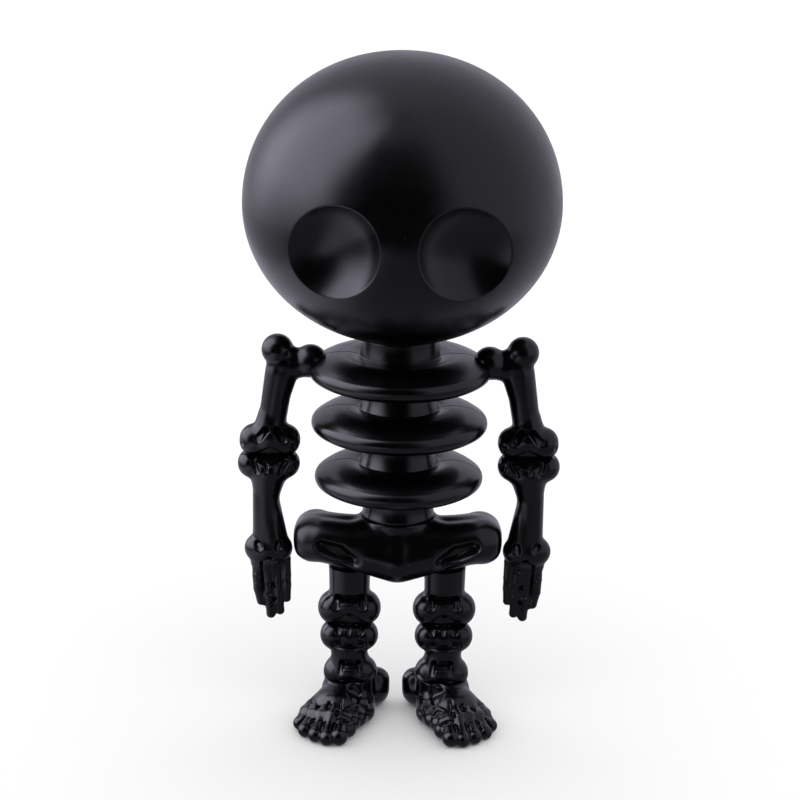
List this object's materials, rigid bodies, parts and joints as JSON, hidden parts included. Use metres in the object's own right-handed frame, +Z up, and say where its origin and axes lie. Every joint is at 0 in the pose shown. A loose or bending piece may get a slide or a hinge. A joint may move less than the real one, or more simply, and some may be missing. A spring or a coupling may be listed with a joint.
{
  "type": "articulated vinyl figure",
  "caption": "Standing black vinyl skeleton figure with an oversized egg-shaped head, lens-like ribs, swivelling arms and legs and bare feet.",
  "frame": {"origin": "on the floor, midway between the feet, at the centre of the underside of the figure's box", "axes": "+Z up along the spine, -Y the way the face looks, +X towards the figure's left arm"},
  "size_m": [0.0948, 0.091, 0.2],
  "materials": {
    "head_vinyl": "satin",
    "body_vinyl": "satin",
    "limb_vinyl": "satin",
    "joint_plastic": "semi-matte"
  },
  "bodies": {
    "pelvis": {"pelvis": "body_vinyl", "waist_plug": "joint_plastic", "hip_plug_left": "joint_plastic", "hip_plug_right": "joint_plastic"},
    "torso": {"torso_front_shell": "body_vinyl", "torso_back_shell": "body_vinyl", "neck_plug": "joint_plastic"},
    "head": {"head_shell": "head_vinyl"},
    "upper_arm_left": {"upper_arm_left": "limb_vinyl", "shoulder_plug_left": "joint_plastic", "elbow_pin_left": "joint_plastic"},
    "forearm_left": {"forearm_left": "limb_vinyl"},
    "thigh_left": {"thigh_left": "limb_vinyl", "knee_pin_left": "joint_plastic"},
    "shin_left": {"shin_left": "limb_vinyl", "ankle_pin_left": "joint_plastic"},
    "foot_left": {"foot_left": "limb_vinyl"},
    "upper_arm_right": {"upper_arm_right": "limb_vinyl", "shoulder_plug_right": "joint_plastic", "elbow_pin_right": "joint_plastic"},
    "forearm_right": {"forearm_right": "limb_vinyl"},
    "thigh_right": {"thigh_right": "limb_vinyl", "knee_pin_right": "joint_plastic"},
    "shin_right": {"shin_right": "limb_vinyl", "ankle_pin_right": "joint_plastic"},
    "foot_right": {"foot_right": "limb_vinyl"}
  },
  "joints": [
    {"name": "waist_swivel", "type": "hinge", "parent": "pelvis", "child": "torso", "pos_m": [0, 0, 0.0635], "axis": [0, 0, 1], "continuous": true},
    {"name": "neck_swivel", "type": "hinge", "parent": "torso", "child": "head", "pos_m": [0, 0, 0.1183], "axis": [0, 0, 1], "continuous": true},
    {"name": "shoulder_left_swing", "type": "hinge", "parent": "torso", "child": "upper_arm_left", "pos_m": [0.026, 0, 0.1102], "axis": [-1, 0, 0], "range_deg": [-120, 120]},
    {"name": "elbow_left_swivel", "type": "hinge", "parent": "upper_arm_left", "child": "forearm_left", "pos_m": [0.0382, 0, 0.082], "axis": [0, 0, 1], "continuous": true},
    {"name": "hip_left_swivel", "type": "hinge", "parent": "pelvis", "child": "thigh_left", "pos_m": [0.0142, 0, 0.0472], "axis": [0, 0, 1], "range_deg": [-15, 60]},
    {"name": "knee_left_swivel", "type": "hinge", "parent": "thigh_left", "child": "shin_left", "pos_m": [0.0142, 0, 0.0288], "axis": [0, 0, -1], "range_deg": [-60, 15]},
    {"name": "ankle_left_swivel", "type": "hinge", "parent": "shin_left", "child": "foot_left", "pos_m": [0.0142, 0, 0.0115], "axis": [0, 0, 1], "range_deg": [-15, 60]},
    {"name": "shoulder_right_swing", "type": "hinge", "parent": "torso", "child": "upper_arm_right", "pos_m": [-0.026, 0, 0.1102], "axis": [-1, 0, 0], "range_deg": [-120, 120]},
    {"name": "elbow_right_swivel", "type": "hinge", "parent": "upper_arm_right", "child": "forearm_right", "pos_m": [-0.0382, 0, 0.082], "axis": [0, 0, -1], "continuous": true},
    {"name": "hip_right_swivel", "type": "hinge", "parent": "pelvis", "child": "thigh_right", "pos_m": [-0.0142, 0, 0.0472], "axis": [0, 0, -1], "range_deg": [-15, 60]},
    {"name": "knee_right_swivel", "type": "hinge", "parent": "thigh_right", "child": "shin_right", "pos_m": [-0.0142, 0, 0.0288], "axis": [0, 0, 1], "range_deg": [-60, 15]},
    {"name": "ankle_right_swivel", "type": "hinge", "parent": "shin_right", "child": "foot_right", "pos_m": [-0.0142, 0, 0.0115], "axis": [0, 0, -1], "range_deg": [-15, 60]}
  ]
}
